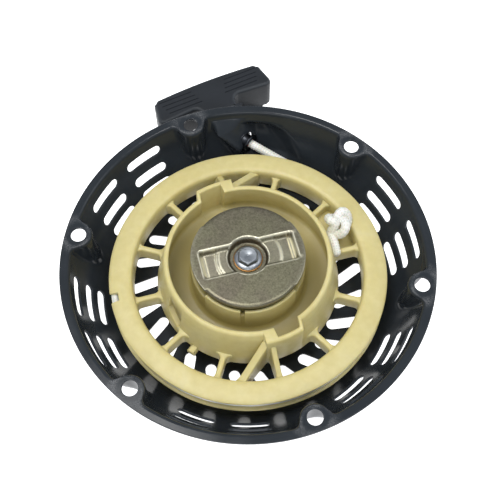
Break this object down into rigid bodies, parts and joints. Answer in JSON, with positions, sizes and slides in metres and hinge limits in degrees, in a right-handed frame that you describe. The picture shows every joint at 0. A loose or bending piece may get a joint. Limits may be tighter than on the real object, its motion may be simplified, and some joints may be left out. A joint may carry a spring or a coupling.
{
  "type": "recoil starter",
  "caption": "Recoil starter for a small engine: a round vented steel bowl with bolt holes, a rope reel on a spring, a pull handle and a pawl clutch.",
  "frame": {"origin": "centre of the circle through the mounting holes, on the flange face that bears on the engine", "axes": "+Z along the reel's axis towards the engine, +X through a mounting hole, the rope leaves near +Y"},
  "size_m": [0.2052, 0.2428, 0.0481],
  "materials": {
    "black_paint": "gloss black paint on pressed steel",
    "nylon": "natural cream nylon, satin",
    "rope": "white braided nylon",
    "handle_plastic": "matt dark grey moulded plastic",
    "zinc_plate": "zinc plated steel, speckled",
    "bright_steel": "bright zinc",
    "plated_steel": "plain zinc",
    "dark_steel": "black steel",
    "spring_steel": "oiled spring steel",
    "brass": "copper coloured washer"
  },
  "bodies": {
    "housing": {"starter_housing": "black_paint", "center_post": "plated_steel", "rope_eyelet": "dark_steel", "thrust_washer": "plated_steel", "recoil_spring": "spring_steel", "rope_lead": "rope", "brass_washer": "brass", "clamp_bolt": "bright_steel"},
    "handle": {"handle_grip": "handle_plastic", "handle_rope": "rope", "handle_washer": "plated_steel", "handle_knot": "rope"},
    "reel": {"reel": "nylon", "rope_wound": "rope", "reel_knot": "rope", "pawl_spring_a": "spring_steel", "pawl_spring_b": "spring_steel"},
    "drive_plate": {"drive_plate": "zinc_plate", "friction_spring": "spring_steel"},
    "pawl_a": {"pawl_a": "zinc_plate"},
    "pawl_b": {"pawl_b": "zinc_plate"}
  },
  "joints": [
    {"name": "handle_pull", "type": "slide", "parent": "housing", "child": "handle", "axis": [-0.5664, 0.8241, 0], "range_m": [0, 1.1], "stiffness_N_per_m": 15, "springref_m": -0.6},
    {"name": "reel_spin", "type": "hinge", "parent": "housing", "child": "reel", "pos_m": [0, 0, 0], "axis": [0, 0, 1], "range_deg": [0, 880], "deforming": ["recoil_spring"]},
    {"name": "plate_turn", "type": "hinge", "parent": "reel", "child": "drive_plate", "pos_m": [0, 0, 0], "axis": [0, 0, 1], "range_deg": [-15, 0], "stiffness_Nm_per_rad": 0.02, "springref_deg": 17.19},
    {"name": "pawl_a_swing", "type": "hinge", "parent": "reel", "child": "pawl_a", "pos_m": [0.01638, -0.01147, 0], "axis": [0, 0, 1], "range_deg": [-40.1, 0]},
    {"name": "pawl_b_swing", "type": "hinge", "parent": "reel", "child": "pawl_b", "pos_m": [-0.01638, 0.01147, 0], "axis": [0, 0, 1], "range_deg": [-40.1, 0]}
  ],
  "couplings": [
    {"joint": "reel_spin", "follows": "handle_pull", "rad_per_m": 13.9},
    {"joint": "pawl_a_swing", "follows": "plate_turn", "ratio": 2.6667},
    {"joint": "pawl_b_swing", "follows": "plate_turn", "ratio": 2.6667}
  ]
}
